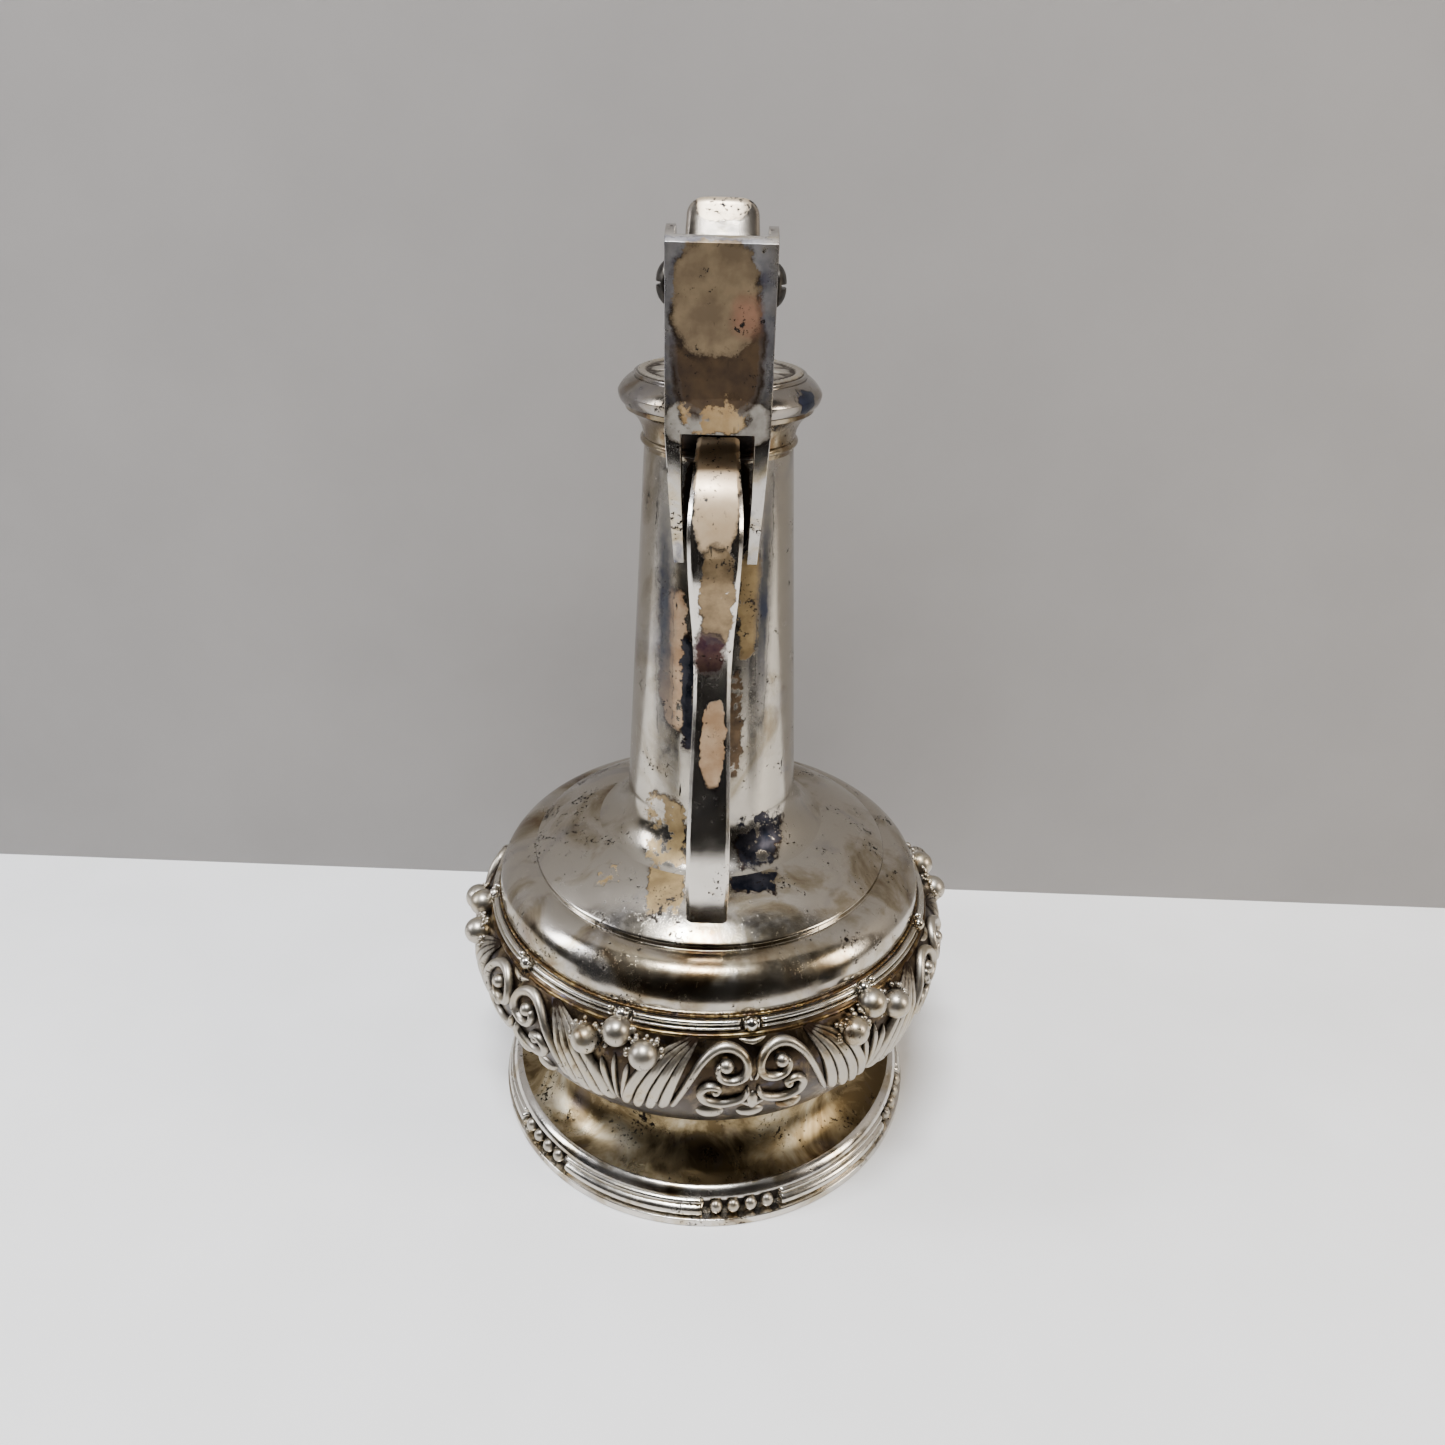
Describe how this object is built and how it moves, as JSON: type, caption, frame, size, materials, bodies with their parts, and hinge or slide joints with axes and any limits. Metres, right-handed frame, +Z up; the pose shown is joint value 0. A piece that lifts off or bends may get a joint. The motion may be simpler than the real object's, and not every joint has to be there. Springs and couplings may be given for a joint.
{
  "type": "lidded water pitcher",
  "caption": "Narrow-necked lidded silver pitcher with a strap handle, thumb-lever hinged lid, spreading foot and a chased band of scrolls, leaves and berries.",
  "frame": {"origin": "centre of the foot's resting face", "axes": "+Z up; the handle and hinge bracket stand on the -Y side and the pouring lip on the +Y side"},
  "size_m": [0.1336, 0.1324, 0.2424],
  "materials": {
    "body_silver": "worn polished silver",
    "lacquered_silver": "polished silver with worn lacquer",
    "chased_silver": "chased silver, dark in the hollows",
    "nickel_steel": "dull nickel plate",
    "bush_brass": "turned brass"
  },
  "bodies": {
    "pitcher": {"berry_cluster_1": "chased_silver", "berry_cluster_2": "chased_silver", "berry_cluster_3": "chased_silver", "berry_cluster_4": "chased_silver", "berry_cluster_5": "chased_silver", "berry_cluster_6": "chased_silver", "bowl": "body_silver", "foot_beads_1": "chased_silver", "foot_beads_2": "chased_silver", "foot_beads_3": "chased_silver", "foot_beads_4": "chased_silver", "foot_beads_5": "chased_silver", "foot_beads_6": "chased_silver", "foot_flare": "lacquered_silver", "foot_reeds_1": "chased_silver", "foot_reeds_2": "chased_silver", "foot_reeds_3": "chased_silver", "foot_reeds_4": "chased_silver", "foot_reeds_5": "chased_silver", "foot_reeds_6": "chased_silver", "foot_rim": "body_silver", "handle_strap": "lacquered_silver", "hinge_bracket": "lacquered_silver", "leaf_left_1": "chased_silver", "leaf_left_2": "chased_silver", "leaf_left_3": "chased_silver", "leaf_left_4": "chased_silver", "leaf_left_5": "chased_silver", "leaf_left_6": "chased_silver", "leaf_right_1": "chased_silver", "leaf_right_2": "chased_silver", "leaf_right_3": "chased_silver", "leaf_right_4": "chased_silver", "leaf_right_5": "chased_silver", "leaf_right_6": "chased_silver", "lower_wire": "chased_silver", "main_wire": "chased_silver", "neck": "body_silver", "neck_collar": "lacquered_silver", "pivot_axle": "nickel_steel", "pivot_screw_left": "nickel_steel", "pivot_screw_right": "nickel_steel", "pouring_lip": "body_silver", "ribbon_ties": "chased_silver", "scroll_pair_1": "chased_silver", "scroll_pair_2": "chased_silver", "scroll_pair_3": "chased_silver", "scroll_pair_4": "chased_silver", "scroll_pair_5": "chased_silver", "scroll_pair_6": "chased_silver", "shoulder": "body_silver", "upper_wire": "chased_silver"},
    "lid": {"lid_cap": "body_silver", "lid_flange": "body_silver", "lid_medallion": "chased_silver", "arm_rivets": "nickel_steel", "lid_arm": "lacquered_silver", "lever_knuckle": "lacquered_silver", "pivot_bush": "bush_brass", "thumb_piece": "lacquered_silver"}
  },
  "joints": [
    {"name": "lid_hinge", "type": "hinge", "parent": "pitcher", "child": "lid", "pos_m": [0, -0.024, 0.2275], "axis": [1, 0, 0], "range_deg": [0, 48]}
  ]
}
